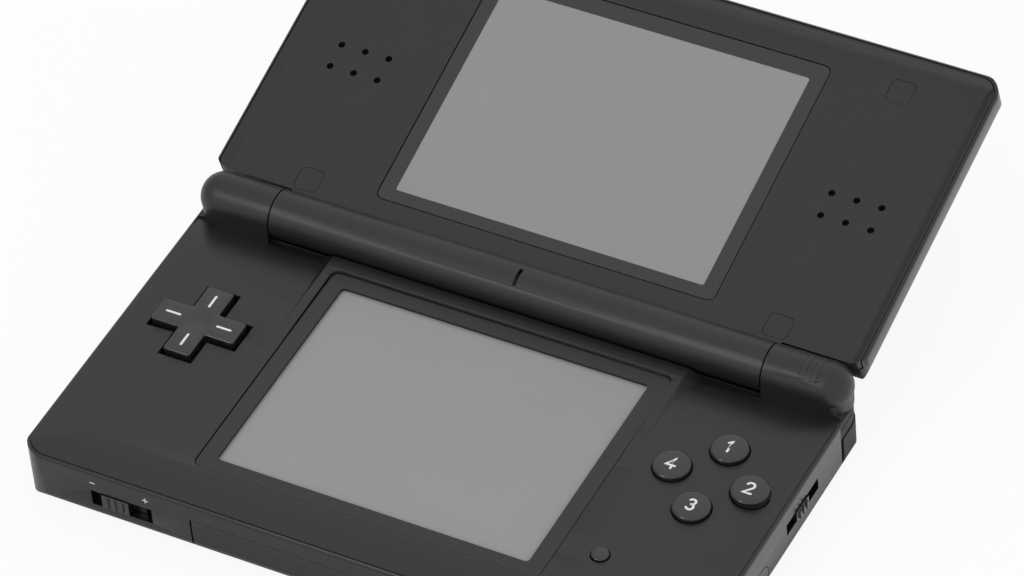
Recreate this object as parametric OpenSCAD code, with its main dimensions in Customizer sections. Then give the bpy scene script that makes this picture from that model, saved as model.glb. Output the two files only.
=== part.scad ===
// Clamshell handheld game console, modelled open.
// The origin is the centre of the base's footprint on the surface it rests on.
// X runs to the user's right, Y to the hinge and Z up.

/* [Base] */
// Width of the base
base_w = 133; // [131:0.5:136]
// Depth of the base from the front wall to the rear wall
base_d = 73.9; // [73.5:0.1:76]
// Height of the rubber feet below the underside
foot_h = 0.3; // [0.2:0.1:0.6]
// Thickness of the base from the underside to the panel plane
base_t = 12.9; // [12.7:0.1:13.5]
// Thickness of the moulded side walls
wall = 1.5; // [1.2:0.1:1.8]
// Thickness of the floor
floor_t = 1.8; // [1.6:0.1:2]
// Thickness of the control panel
panel_t = 1.4; // [1.2:0.1:1.6]
// Corner radius of the base, seen from above, at the front
front_corner_r = 5; // [4:0.5:7]
// Corner radius of the base, seen from above, at the rear
rear_corner_r = 5.5; // [4.5:0.5:6]
// Rounding of the bottom edge
edge_round = 2.25; // [2:0.25:3]
// Drop from the panel plane to the rim of the housing
rim_drop = 1.7; // [1.5:0.1:1.9]
// Distance from the side wall to the seam round the panel
seam_inset = 0.65; // [0.55:0.05:0.8]
// Width of the band along which the panel falls to its side edges
side_fall = 11.8; // [9:0.2:12]
// Width of the band along which the panel falls to its front edge
front_fall = 8; // [6:0.2:8.2]

/* [Hinge] */
// Radius of the hinge barrel and its end caps
barrel_r = 4.6; // [4.5:0.05:4.7]
// Height of the hinge axis above the panel plane
axis_lift = 1.8; // [1.75:0.05:1.9]
// Half length of the lid's part of the barrel
barrel_half = 50.15; // [49:0.05:50.2]
// Gap between the barrel and each end cap
ring_gap = 0.3; // [0.2:0.05:0.4]
// Radius of the bore along the barrel
barrel_bore_r = 3; // [2.8:0.1:3.2]
// Rise of the opened lid above the horizontal, in degrees
open_tilt = 14.7; // [12:0.1:20]

/* [Lid] */
// Length of the lid from the hinge axis to its far edge
lid_reach = 69.2; // [69:0.1:69.6]
// Thickness of the lid behind its inner face
lid_t = 7.1; // [6.9:0.1:7.3]
// Height of the inner face above the hinge axis
face_lift = 0.4; // [0.35:0.05:0.45]
// Height of the rim above the inner face
lid_rim = 1.15; // [0.8:0.05:1.2]
// Distance from the hinge axis to the rear edge of the lid
lid_rear = 5.3; // [5.3:0.05:5.5]
// Corner radius at the far edge
lid_corner_r = 4.5; // [3:0.5:6]

/* [Screens] */
// Width of the bezels inside their grooves
bezel_w = 69; // [68:0.2:70]
// Depth of the lower bezel
lower_bezel_d = 52.9; // [52.6:0.1:53.1]
// Front edge of the lower bezel
lower_bezel_y = -28.6; // [-28.8:0.1:-28.4]
// Width of the window over the touch screen
lower_window_w = 62.6; // [62:0.1:63]
// Depth of the window over the touch screen
lower_window_d = 47.1; // [46.6:0.1:47.5]
// Front edge of the window over the touch screen
lower_window_y = -25.8; // [-26:0.1:-25.6]
// Distance from the hinge axis to the upper bezel
upper_bezel_y = 9; // [8.9:0.1:9.1]
// Length of the upper bezel along the lid
upper_bezel_d = 52.9; // [52.6:0.1:53.1]
// Width of the groove round each bezel
groove = 0.25; // [0.2:0.05:0.3]

/* [Controls] */
// Height of the face buttons above the panel plane
button_lift = 1.15; // [0.8:0.05:1.2]
// Height of the direction pad above the panel plane
pad_lift = 1.1; // [0.8:0.05:1.1]
// Centre of the four face buttons
face_x = 51.9; // [51.5:0.1:52]
// Centre of the four face buttons, towards the hinge
face_y = 4.6; // [4:0.1:5]
// Distance from that centre to each face button
face_offset = 7.65; // [7.5:0.05:7.8]
// Diameter of a face button
face_d = 7.1; // [6.8:0.1:7.2]
// Centre of the direction pad
pad_x = -50.7; // [-51:0.1:-50.4]
// Centre of the direction pad, towards the hinge
pad_y = 2.3; // [1.5:0.1:3]
// Length of the direction pad across both arms
pad_span = 17.2; // [16.8:0.1:17.3]
// Width of an arm of the direction pad
pad_arm = 5.5; // [5.2:0.1:5.6]
// Position of the two small round buttons across the panel
small_x = 42.2; // [42:0.1:42.5]
// Position of the upper small round button
small_y = -19.4; // [-19.8:0.1:-19]
// Distance between the two small round buttons
small_pitch = 7.7; // [7:0.1:8]
// Diameter of a small round button
small_d = 3.3; // [3:0.1:3.6]

/* [Slots and sockets] */
// Width of the dust cover's front face
dust_w = 62.1; // [61.8:0.1:62.4]
// Height of the top edge of the dust cover
dust_top = 7.7; // [7.6:0.1:7.8]
// Centre of the card slot in the rear wall
card_x = 14; // [13:0.5:15]
// Radius of the headphone bore
phone_bore_r = 1.8; // [1.75:0.01:1.85]
// Position of the headphone socket along the front wall
phone_x = 47; // [46:0.5:48]
// Radius of the stylus barrel
stylus_r = 2.15; // [2:0.05:2.2]
// Length of the stylus
stylus_len = 87.4; // [86:0.1:88]
// Position of the stylus along the right wall
stylus_y = -6.1; // [-6.3:0.1:-5.9]

/* [Speakers] */
// Distance of each speaker from the middle of the lid
speaker_x = 50.7; // [50:0.1:51]
// Distance of each speaker from the hinge axis
speaker_y = 34.6; // [34:0.1:36]
// Distance between neighbouring sound holes
hole_pitch = 5; // [4.8:0.05:5.1]
// Diameter of a sound hole
hole_d = 1.35; // [1.2:0.05:1.5]

/* [Hidden] */
$fn = 48;
arc_n = 6;
under_z = foot_h;
panel_z = under_z + base_t;
panel_under = panel_z - panel_t;
rim_z = panel_z - rim_drop;
floor_z = under_z + floor_t;
half_w = base_w / 2;
half_d = base_d / 2;
hinge_y = half_d - barrel_r - 0.1;
hinge_z = panel_z + axis_lift;
trough_r = barrel_r + 0.4;
cap_x0 = barrel_half + ring_gap;
board_z = 8.2;
board_t = 0.8;
board_top = board_z + board_t;
button_top = panel_z + button_lift;
pad_top = panel_z + pad_lift;
pad_gap = 0.75;
ledge_z = 10.5;
fall = 1.55;
side_curve = (side_fall * side_fall + fall * fall) / (2 * fall);
front_curve = (front_fall * front_fall + fall * fall) / (2 * fall);
edge_x = half_w - seam_inset - 0.08;
edge_y = half_d - seam_inset - 0.08;
flange_top = panel_under - 0.15;
seam_w = 2 * (half_w - seam_inset);
screw_spots = [[-58, -24], [58, -24], [-58, 22], [56, 22], [-38, -14], [38, -14]];
foot_spots = [[-54, -31], [54, -31], [-58, 13.5], [58, 13.5]];
small_spots = [[small_x, small_y], [small_x, small_y - small_pitch]];
battery_x = [-44, -6];
battery_y = [-1.2, 30.2];
card_w = 33.6;
card_z = [3.5, 7.8];
stylus_z = 3.4;
phone_z = 5.6;
lid_far = lid_reach;
lid_out = face_lift - lid_t;
lid_skin = 1.2;
face_t = 1.45;
face_under = face_lift - face_t;
lid_gap = 0.15;
plug_spots = [[-48.15, 8.1], [48.15, 8.1], [-48.75, 61.2], [48.75, 61.2]];
pad_pivot_z = 10.4;
pin_x = 52.4;
pin_y = 33.9;
lever_z = [2, 7.35];
corner_line_z = 9.9;
lever_gap_y = 26.8;
cap_foot_y = 27.5;
cap_lean = 5;
fall_y = 13;
fall_curve = 69;
shelf_x = [36.2, 39.2];
shelf_z = [11.2, 13.8];

// Quarter of an ellipse that starts at the angle a0
function quarter(cx, cy, rx, ry, a0) =
    [for (i = [0 : arc_n]) [cx + rx * cos(a0 + 90 * i / arc_n), cy + ry * sin(a0 + 90 * i / arc_n)]];

// Rectangle with one elliptical rounding at its low edge and another at its high edge
function slab(x0, x1, y0, y1, low, high) = concat(
    quarter(x1 - high[0], y1 - high[1], high[0], high[1], 0),
    quarter(x0 + high[0], y1 - high[1], high[0], high[1], 90),
    quarter(x0 + low[0], y0 + low[1], low[0], low[1], 180),
    quarter(x1 - low[0], y0 + low[1], low[0], low[1], 270));

// Flat plate with rounded corners, from one height to another
module plate(x, y, z, low_r, high_r) {
    translate([0, 0, z[0]])
        linear_extrude(z[1] - z[0])
            polygon(slab(x[0], x[1], y[0], y[1], [low_r, low_r], [high_r, high_r]));
}

module block(x, y, z) {
    translate([x[0], y[0], z[0]])
        cube([x[1] - x[0], y[1] - y[0], z[1] - z[0]]);
}

// Extrudes an X-Z section along Y
module along_y(y0, y1) {
    translate([0, y1, 0])
        rotate([90, 0, 0])
            linear_extrude(y1 - y0)
                children();
}

// Extrudes a Y-Z section along X
module along_x(x0, x1) {
    translate([x0, 0, 0])
        rotate([90, 0, 90])
            linear_extrude(x1 - x0)
                children();
}

module rod_x(x0, x1, y, z, r) {
    translate([x0, y, z])
        rotate([0, 90, 0])
            cylinder(h = x1 - x0, r = r);
}

module rod_z(x, y, z0, z1, r) {
    translate([x, y, z0])
        cylinder(h = z1 - z0, r = r);
}

module both_sides() {
    children();
    mirror([1, 0, 0])
        children();
}

// Outer form of the base, up to the rim round the panel
module base_form() {
    intersection() {
        plate([-half_w, half_w], [-half_d, half_d], [under_z, rim_z], front_corner_r, rear_corner_r);
        along_y(-half_d, half_d)
            polygon(slab(-half_w, half_w, under_z, rim_z, [edge_round, edge_round], [0.6, 0.85]));
        along_x(-half_w, half_w)
            polygon(slab(-half_d, half_d, under_z, rim_z, [edge_round, edge_round], [0.6, 0.85]));
    }
}

// End cap of the hinge, grown by an optional gap: a domed roll on an upright foot
module cap_form(grow) {
    dome = 4.4;
    tip = barrel_r - dome;
    end_x = half_w - 0.15 + grow;
    foot_z = rim_z - 0.15 - grow;
    translate([0, hinge_y, hinge_z])
        rotate([0, 90, 0])
            rotate_extrude()
                polygon(concat([[0, cap_x0 - grow], [barrel_r + grow, cap_x0 - grow]],
                    [for (i = [0 : arc_n + 2]) let (a = 90 * i / (arc_n + 2))
                        [tip + dome * cos(a) + grow, end_x - dome + dome * sin(a)]],
                    [[0, end_x]]));
    intersection() {
        translate([0, cap_foot_y - grow, panel_z])
            rotate([-cap_lean, 0, 0])
                plate([30, end_x - 0.03], [0, 14], [-5, 6], 5, 5);
        plate([30, end_x - 0.03], [20, hinge_y + barrel_r - 0.04 + grow], [foot_z, hinge_z + 0.4],
            1, 4.8);
        block([cap_x0 - grow, half_w + 1], [20, half_d], [foot_z - 1, hinge_z + 2]);
    }
}

// Corner pocket that holds a shoulder button
module shoulder_pocket() {
    block([50.3, half_w + 1], [30.5, half_d + 1], [lever_z[0] - 0.25, lever_z[1] + 0.25]);
    block([61.5, half_w + 1], [lever_gap_y, half_d + 1], [lever_z[0] - 0.25, lever_z[1] + 0.25]);
}

// Shallow step and shadow line round the corner above a shoulder button
module corner_step() {
    difference() {
        block([50.3, half_w + 1], [lever_gap_y, half_d + 1], [lever_z[1], rim_z + 1]);
        plate([0, half_w - 0.2], [0, half_d - 0.2], [0, corner_line_z], 1, rear_corner_r - 0.2);
        plate([0, half_w - 0.2], [0, half_d - 0.2], [corner_line_z + 0.25, rim_z + 2], 1,
            rear_corner_r - 0.2);
        plate([0, half_w - 0.45], [0, half_d - 0.45], [0, rim_z + 2], 1, rear_corner_r - 0.45);
    }
}

module lower_housing() {
    color([0.13, 0.13, 0.135])
    difference() {
        union() {
            difference() {
                base_form();
                plate([-half_w + wall, half_w - wall], [-half_d + wall, half_d - wall],
                    [floor_z, rim_z + 1], front_corner_r - wall, rear_corner_r - wall);
                plate([-seam_w / 2, seam_w / 2], [-half_d + seam_inset, half_d - seam_inset],
                    [ledge_z, rim_z + 1], front_corner_r - seam_inset, rear_corner_r - seam_inset);
            }
            for (s = screw_spots)
                rod_z(s[0], s[1], floor_z - 0.2, board_z, 3);
            // Walls of the battery bay
            block([battery_x[0] - 1, battery_x[1] + 1], [battery_y[0] - 1, battery_y[1] + 1],
                [floor_z - 0.2, 8]);
            rod_z(-25, 32.2, floor_z - 0.2, 5, 2.6);
            // Stylus tube and the tunnel of the front slot
            block([-24, half_w - wall + 0.2], [stylus_y - 3.5, stylus_y + 3.5], [floor_z - 0.2, 6.6]);
            block([-30.4, 30.4], [-half_d + wall - 0.2, -14.2], [floor_z - 0.2, board_z - 0.1]);
            block([-dust_w / 2 - 1.3, dust_w / 2 + 1.3], [-half_d + wall - 0.2, -33.4],
                [floor_z - 0.2, dust_top + 1.3]);
            both_sides()
                block([49.1, half_w - wall + 0.2], [24.9, half_d - wall + 0.2], [floor_z - 0.2, 10.2]);
        }
        both_sides() {
            cap_form(0.08);
            shoulder_pocket();
            corner_step();
            rod_z(pin_x, pin_y, 1.2, 8.4, 0.85);
            block([55.9, 60.1], [28.7, 31], [3.9, 7.1]);
        }
        rod_x(-cap_x0, cap_x0, hinge_y, hinge_z, trough_r);
        // Battery bay, its cover's seat and the cover's screw
        block(battery_x, battery_y, [0, 9]);
        plate([battery_x[0] - 2, battery_x[1] + 2], [battery_y[0] - 1.6, battery_y[1] + 1.6],
            [0, under_z + 1.25], 2, 2);
        rod_z(-25, 32.2, 0, under_z + 1.25, 3);
        rod_z(-25, 32.2, 0, 4.6, 0.85);
        // Stylus bore with the wider seat of its head
        rod_x(-22.4, half_w + 1, stylus_y, stylus_z, stylus_r + 0.1);
        translate([0, stylus_y, stylus_z])
            along_x(half_w - 4.8, half_w + 1)
                polygon(slab(-2.95, 2.95, -2.35, 2.35, [1.6, 1.6], [1.6, 1.6]));
        // Front slot, with the seat of the dust cover's face
        block([-29.2, 29.2], [-half_d - 1, -13], [floor_z, 7.2]);
        block([-dust_w / 2 - 0.25, dust_w / 2 + 0.25], [-half_d - 1, -34.5], [0, dust_top + 0.2]);
        // Card slot, charging opening and strap hole in the rear wall
        block([card_x - 17.1, card_x + 17.1], [half_d - wall - 0.2, half_d + 1], [3.4, 8]);
        block([38.4, 47.6], [half_d - wall - 0.2, half_d + 1], [3.7, 8]);
        block([-41.5, -35], [half_d - 2.6, half_d + 1], [3.4, 7.4]);
        // Headphone opening, volume slot and power slot
        translate([phone_x, -half_d + wall + 0.2, phone_z])
            rotate([90, 0, 0])
                cylinder(h = wall + 1, r = 3.05);
        block([-51.7, -39.2], [-half_d - 1, -half_d + wall + 0.2], [3.6, 7.1]);
        block([half_w - wall - 0.2, half_w + 1], [4.5, 17.2], [5.1, 7.7]);
        for (s = screw_spots) {
            rod_z(s[0], s[1], 0, under_z + 1.6, 2);
            rod_z(s[0], s[1], 0, 9, 1);
        }
        for (s = foot_spots)
            rod_z(s[0], s[1], 0, under_z + 0.7, 3.05);
    }
    // Bar for a wrist strap
    color([0.13, 0.13, 0.135])
        rod_z(-38.25, half_d - 1.1, 3.2, 7.6, 0.7);
}

// Cross-shaped outline of the direction pad, grown by g
module cross_outline(g) {
    square([pad_span + 2 * g, pad_arm + 2 * g], center = true);
    square([pad_arm + 2 * g, pad_span + 2 * g], center = true);
}

// Places its children at each face button
module at_face(i) {
    translate([face_x + face_offset * cos(90 * i), face_y + face_offset * sin(90 * i), 0])
        children();
}

// Space of the two light windows in the right end cap
module light_slots(grow) {
    intersection() {
        difference() {
            rod_x(56, 62, hinge_y, hinge_z, barrel_r + grow);
            rod_x(55, 63, hinge_y, hinge_z, 3.5 - grow);
        }
        for (x = [57.9, 60.2])
            block([x - 0.5 - grow, x + 0.5 + grow], [hinge_y - 3.2 - grow, hinge_y + 3.2 + grow],
                [hinge_z + 2, hinge_z + 6]);
    }
}

// Outline of the panel, shrunk by t, from one height to another
module panel_outline(t, z) {
    plate([-edge_x + t, edge_x - t], [-edge_y + t, edge_y - t], z,
        front_corner_r - seam_inset - t * 0.8, rear_corner_r - seam_inset - t * 0.8);
}

// Half plane under a section whose top falls along an arc at each end
module crown(x0, x1, low_fall, high_fall, low_r, high_r) {
    translate([x0 + low_fall, 0])
        square([x1 - x0 - low_fall - high_fall, panel_z]);
    intersection() {
        translate([x0, 0])
            square([low_fall + 0.01, panel_z]);
        translate([x0 + low_fall, panel_z - low_r])
            circle(r = low_r, $fn = 96);
    }
    intersection() {
        translate([x1 - high_fall - 0.01, 0])
            square([high_fall + 0.01, panel_z]);
        translate([x1 - high_fall, panel_z - high_r])
            circle(r = high_r, $fn = 96);
    }
}

// Space over the panel where its rear falls towards the foot of the cap
module rear_fall() {
    intersection() {
        along_x(30, half_w + 1)
            difference() {
                translate([fall_y, panel_z - 3])
                    square([15.5, 6]);
                translate([fall_y, panel_z - fall_curve + 0.02])
                    circle(r = fall_curve, $fn = 180);
            }
        along_y(5, half_d)
            polygon([[shelf_x[0], shelf_z[1]], [shelf_x[1], shelf_z[0]], [70, shelf_z[0]], [70, 20],
                [shelf_x[0], 20]]);
    }
}

module control_panel() {
    color([0.15, 0.15, 0.155])
    difference() {
        union() {
            // Crowned plate with a thick edge that stands on the ledge of the housing
            difference() {
                intersection() {
                    difference() {
                        panel_outline(0, [ledge_z + 0.05, panel_z]);
                        panel_outline(2.7, [0, panel_under - 1.1]);
                        intersection() {
                            panel_outline(2.7, [0, panel_under]);
                            block([-half_w, half_w], [-half_d, fall_y + 3], [0, panel_under + 1]);
                        }
                        block([-shelf_x[0], shelf_x[0]], [0, 25.5], [0, panel_under]);
                    }
                    along_y(-half_d, half_d)
                        crown(-edge_x, edge_x, side_fall, side_fall, side_curve, side_curve);
                    along_x(-half_w, half_w)
                        crown(-edge_y, edge_y, front_fall, 1.2, front_curve, 2);
                }
                both_sides()
                    rear_fall();
            }
            // Locating rib inside the housing walls
            difference() {
                plate([-64.8, 64.8], [-35.2, 24.6], [ledge_z - 0.9, ledge_z + 0.2], 3.3, 0.5);
                plate([-64, 64], [-34.4, 25.6], [ledge_z - 2, ledge_z + 1], 2.5, 0.4);
            }
            // Shelf that rises from the touch screen to the barrel, with sloping sides
            intersection() {
                along_x(-shelf_x[1], shelf_x[1])
                    polygon([[2, panel_under + 0.2], [2, panel_z], [22.8, panel_z + 0.4],
                        [28, panel_z + 0.4], [28, panel_under + 0.2]]);
                along_y(0, 29)
                    polygon([[-shelf_x[1], shelf_z[0]], [-shelf_x[0], shelf_z[1]],
                        [shelf_x[0], shelf_z[1]], [shelf_x[1], shelf_z[0]]]);
            }
            // Trough under the barrel
            intersection() {
                rod_x(-48.9, 48.9, hinge_y, hinge_z, trough_r + 0.65);
                block([-50, 50], [hinge_y - 6, half_d - wall - 0.1], [board_top, panel_under - 0.3]);
            }
            both_sides()
                cap_form(0);
            for (s = screw_spots)
                rod_z(s[0], s[1], board_top, panel_under + 0.2, 2.2);
        }
        rod_x(-cap_x0, cap_x0, hinge_y, hinge_z, trough_r);
        // Seat and opening of the touch screen
        plate([-bezel_w / 2 - groove, bezel_w / 2 + groove],
            [lower_bezel_y - groove, lower_bezel_y + lower_bezel_d + groove],
            [panel_z - 0.8, panel_z + 1], 1.6, 1.6);
        plate([-33.4, 33.4], [-27.6, 23.2], [panel_under - 1, panel_z + 1], 0.4, 0.4);
        translate([pad_x, pad_y, panel_under - 1])
            linear_extrude(4)
                cross_outline(pad_gap);
        for (i = [0 : 3])
            at_face(i) {
                rod_z(0, 0, panel_under - 1, panel_z + 1, face_d / 2 + 0.2);
                rod_z(0, 0, ledge_z - 1, panel_under, face_d / 2 + 0.7);
            }
        for (s = small_spots)
            rod_z(s[0], s[1], panel_under - 1, panel_z + 1, small_d / 2 + 0.2);
        for (s = screw_spots)
            rod_z(s[0], s[1], board_z, 11.4, 0.85);
        both_sides()
            rod_x(cap_x0 - 1, 60.2, hinge_y, hinge_z, barrel_bore_r);
        light_slots(0.05);
    }
}

module touch_bezel() {
    color([0.12, 0.12, 0.125])
    difference() {
        plate([-bezel_w / 2, bezel_w / 2], [lower_bezel_y, lower_bezel_y + lower_bezel_d],
            [panel_z - 0.8, panel_z - 0.12], 1.4, 1.4);
        plate([-lower_window_w / 2, lower_window_w / 2], [lower_window_y, lower_window_y + lower_window_d],
            [panel_z - 2, panel_z + 1], 0.8, 0.8);
    }
}

module touch_glass() {
    color([0.6, 0.59, 0.59])
        block([-33.2, 33.2], [-27.4, 23], [panel_z - 1.65, panel_z - 0.85]);
}

module lower_display() {
    color([0.4, 0.4, 0.42]) {
        block([-33, 33], [-27.2, 22.8], [board_top, panel_z - 1.7]);
    }
}

module main_board() {
    color([0.1, 0.35, 0.2])
    difference() {
        union() {
            block([-63.4, 63.4], [-33.2, 24.4], [board_z, board_top]);
            block([-48.6, 48.6], [24, 34], [board_z, board_top]);
            // Processor and memory on the lower face
            block([-62, -48], [-14, 0], [board_z - 1.3, board_z + 0.1]);
            block([-60, -50], [4, 14], [board_z - 1.1, board_z + 0.1]);
        }
        for (s = screw_spots)
            rod_z(s[0], s[1], 0, 12, 1.2);
    }
}

module pad_membrane() {
    color([0.45, 0.45, 0.46])
    difference() {
        rod_z(pad_x, pad_y, board_top, board_top + 0.35, 8.6);
        rod_z(pad_x, pad_y, 0, 20, 3.4);
    }
}

module button_membrane() {
    color([0.45, 0.45, 0.46]) {
        for (i = [0 : 3])
            at_face(i) {
                rod_z(0, 0, board_top, board_top + 0.4, 5);
                rod_z(0, 0, board_top, board_top + 0.85, 2.6);
            }
        rod_z(face_x, face_y, board_top, board_top + 0.4, 5);
        for (s = small_spots) {
            rod_z(s[0], s[1], board_top, board_top + 0.4, 3);
            rod_z(s[0], s[1], board_top, board_top + 0.85, 1.5);
        }
        block([small_x - 1.5, small_x + 1.5], [small_spots[1][1], small_spots[0][1]],
            [board_top, board_top + 0.4]);
    }
}

// Sheet-metal cage that takes a game card from the rear
module card_cage() {
    color([0.7, 0.7, 0.72])
    difference() {
        block([card_x - card_w / 2 - 0.3, card_x + card_w / 2 + 0.3], [3.6, half_d - wall - 0.1],
            [card_z[0] - 0.3, board_z]);
        block([card_x - card_w / 2, card_x + card_w / 2], [4.6, half_d], card_z);
        // Spring windows in the floor of the cage
        for (x = [-11, 11])
            block([card_x + x - 1.5, card_x + x + 1.5], [12, 26], [card_z[0] - 1, card_z[0] + 0.1]);
    }
}

module front_slot_connector() {
    color([0.85, 0.85, 0.82])
    difference() {
        block([-27, 27], [-14.1, -11.6], [floor_z, board_z]);
        block([-25, 25], [-15, -12.6], [4, 5.4]);
    }
}

module battery() {
    color([0.5, 0.52, 0.55])
        plate([battery_x[0] + 0.4, battery_x[1] - 0.4], [battery_y[0] + 0.4, battery_y[1] - 0.4],
            [under_z + 1.2, 7.7], 1, 1);
}

module battery_cover() {
    color([0.13, 0.13, 0.135])
    difference() {
        union() {
            plate([battery_x[0] - 1.85, battery_x[1] + 1.85], [battery_y[0] - 1.45, battery_y[1] + 1.45],
                [under_z, under_z + 1.2], 1.9, 1.9);
            rod_z(-25, 32.2, under_z, under_z + 1.2, 2.85);
        }
        rod_z(-25, 32.2, 0, under_z + 0.7, 1.9);
        rod_z(-25, 32.2, 0, 3, 0.95);
    }
}

// Pan-head screw that points up, with a cross recess in its head
module screw(x, y, z, head_r, head_h, shank_r, tip_z) {
    difference() {
        union() {
            rod_z(x, y, z, z + head_h, head_r);
            rod_z(x, y, z, tip_z, shank_r);
        }
        block([x - head_r * 0.6, x + head_r * 0.6], [y - 0.2, y + 0.2], [z - 1, z + 0.4]);
        block([x - 0.2, x + 0.2], [y - head_r * 0.6, y + head_r * 0.6], [z - 1, z + 0.4]);
    }
}

module battery_screw() {
    color([0.55, 0.55, 0.57])
        screw(-25, 32.2, under_z + 0.1, 1.7, 0.6, 0.8, 4.4);
}

module case_screws() {
    color([0.55, 0.55, 0.57])
        for (s = screw_spots)
            screw(s[0], s[1], under_z + 0.8, 1.8, 0.8, 0.8, 11.2);
}

module charging_socket() {
    color([0.2, 0.2, 0.2])
    difference() {
        union() {
            block([38.6, 47.4], [28, half_d - wall - 0.1], [3.9, board_z]);
            block([38.6, 47.4], [half_d - wall - 0.2, half_d - 0.6], [3.9, 7.9]);
        }
        block([39.4, 46.6], [30, half_d], [4.5, 7.4]);
    }
    color([0.2, 0.2, 0.2])
        block([40.6, 45.4], [29.8, half_d - 2], [5.6, 6.3]);
}

module headphone_socket() {
    color([0.16, 0.16, 0.16])
    difference() {
        union() {
            block([phone_x - 3.5, phone_x + 3.5], [-half_d + wall + 0.1, -22], [2.4, board_z]);
            translate([phone_x, -half_d + wall + 0.15, phone_z])
                rotate([90, 0, 0])
                    cylinder(h = wall + 0.05, r = 2.95);
        }
        translate([phone_x, -23.2, phone_z])
            rotate([90, 0, 0])
                cylinder(h = half_d, r = phone_bore_r);
    }
}

module volume_switch() {
    color([0.3, 0.3, 0.32])
        block([-54, -38], [-33.4, -30.4], [4.5, board_z]);
}

module power_switch() {
    color([0.3, 0.3, 0.32])
        block([59.4, 63.2], [3.4, 18.4], [4, board_z]);
}

module shoulder_switches() {
    color([0.75, 0.75, 0.77])
        both_sides()
            block([56, 60], [28.8, 31.3], [4, 7]);
}

module shoulder_pins() {
    color([0.7, 0.7, 0.72])
        both_sides()
            rod_z(pin_x, pin_y, 1.25, 8.35, 0.8);
}

module wireless_board() {
    color([0.12, 0.3, 0.2]) {
        block([36, 52.4], [3, 21], [6.2, 7.05]);
        block([38, 50.6], [5, 19], [7, board_z]);
    }
}

module hinge_clutch() {
    color([0.6, 0.6, 0.62]) {
        rod_x(38, 60.1, hinge_y, hinge_z, barrel_bore_r - 0.06);
    }
}

module hinge_bush() {
    color([0.6, 0.6, 0.62])
    difference() {
        rod_x(-60.1, -44, hinge_y, hinge_z, barrel_bore_r - 0.06);
        rod_x(-61, -43, hinge_y, hinge_z, 2);
    }
}

module light_pipes() {
    color([0.8, 0.82, 0.8])
        light_slots(0);
}

module rubber_feet() {
    color([0.2, 0.2, 0.2])
        for (s = foot_spots)
            rod_z(s[0], s[1], 0, under_z + 0.7, 2.95);
}

// The lid's own frame: Y runs along the lid from the hinge axis and Z out of its inner face
module in_lid() {
    translate([0, hinge_y, hinge_z])
        rotate([open_tilt, 0, 0])
            children();
}

// Outer form of the lid, shrunk evenly by t
module lid_form(t) {
    x = half_w - t;
    y = [lid_rear + t, lid_far - t];
    z = [lid_out + t, face_lift + lid_rim];
    intersection() {
        plate([-x, x], y, z, 2 - t * 0.8, lid_corner_r - t * 0.9);
        along_y(y[0], y[1])
            polygon(slab(-x, x, z[0], z[1], [6 - t, 5.4 - t], [0.7, 0.7]));
        along_x(-x, x)
            polygon(slab(y[0], y[1], z[0], z[1], [3 - t, 3.4 - t], [0.7, 0.7]));
    }
}

module lid_cover() {
    color([0.1, 0.1, 0.105])
    in_lid()
        difference() {
            union() {
                difference() {
                    lid_form(0);
                    lid_form(lid_skin);
                    // Seat of the inner face, open towards the hinge
                    plate([-seam_w / 2, seam_w / 2], [0, lid_far - seam_inset], [face_under - 0.05, 4],
                        0.5, lid_corner_r - seam_inset);
                }
                for (s = plug_spots)
                    rod_z(s[0], s[1], lid_out + lid_skin - 0.2, face_under - 0.05, 2.3);
            }
            block([-barrel_half - 0.1, barrel_half + 0.1], [lid_rear - 1, lid_rear + lid_skin + 0.2],
                [-3.05, 4]);
            for (s = plug_spots)
                rod_z(s[0], s[1], -5, 2, 0.85);
        }
}

module lid_face() {
    color([0.15, 0.15, 0.155])
    in_lid()
        difference() {
            union() {
                // Plate whose rim rises on three sides
                difference() {
                    plate([-seam_w / 2 + lid_gap, seam_w / 2 - lid_gap],
                        [lid_rear, lid_far - seam_inset - lid_gap],
                        [face_under, face_lift + lid_rim - 0.1], 1.2, lid_corner_r - seam_inset - lid_gap);
                    intersection() {
                        along_y(0, lid_far)
                            polygon([[-63.9, face_lift], [63.9, face_lift], [65.5, face_lift + lid_rim],
                                [65.5, 5], [-65.5, 5], [-65.5, face_lift + lid_rim]]);
                        along_x(-half_w, half_w)
                            polygon([[0, face_lift], [lid_far - 3.6, face_lift],
                                [lid_far - 1, face_lift + lid_rim], [lid_far - 1, 5], [0, 5]]);
                    }
                }
                rod_x(-barrel_half, barrel_half, 0, 0, barrel_r);
                block([-barrel_half, barrel_half], [2.6, lid_rear + lid_skin + 0.1], [-3, face_lift]);
            }
            rod_x(-barrel_half - 1, barrel_half + 1, 0, 0, barrel_bore_r);
            // Seat of the lens and the opening over the display
            plate([-bezel_w / 2 - groove, bezel_w / 2 + groove],
                [upper_bezel_y - groove, upper_bezel_y + upper_bezel_d + groove],
                [face_lift - 0.85, 3], 1.6, 1.6);
            plate([-32.2, 32.2], [11, 59.2], [face_under - 1, 3], 0.8, 0.8);
            // Sound holes
            for (side = [-1, 1], i = [-1 : 1], j = [-0.5, 0.5])
                rod_z(side * speaker_x + i * hole_pitch, speaker_y + j * hole_pitch,
                    face_under - 1, 3, hole_d / 2);
            for (s = plug_spots) {
                plate([s[0] - 2.45, s[0] + 2.45], [s[1] - 2.45, s[1] + 2.45], [face_lift - 0.6, 3], 1.2, 1.2);
                rod_z(s[0], s[1], face_lift - 1.1, 3, 1.9);
                rod_z(s[0], s[1], face_under - 1, 3, 1);
            }
            // Slit of the microphone and the passage of the cable
            block([-0.15, 0.55], [-1.9, 1.7], [2, 6]);
            block([-30.5, -13.5], [1, lid_rear + lid_skin + 1], [-1.7, face_under - 0.05]);
        }
}

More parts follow.
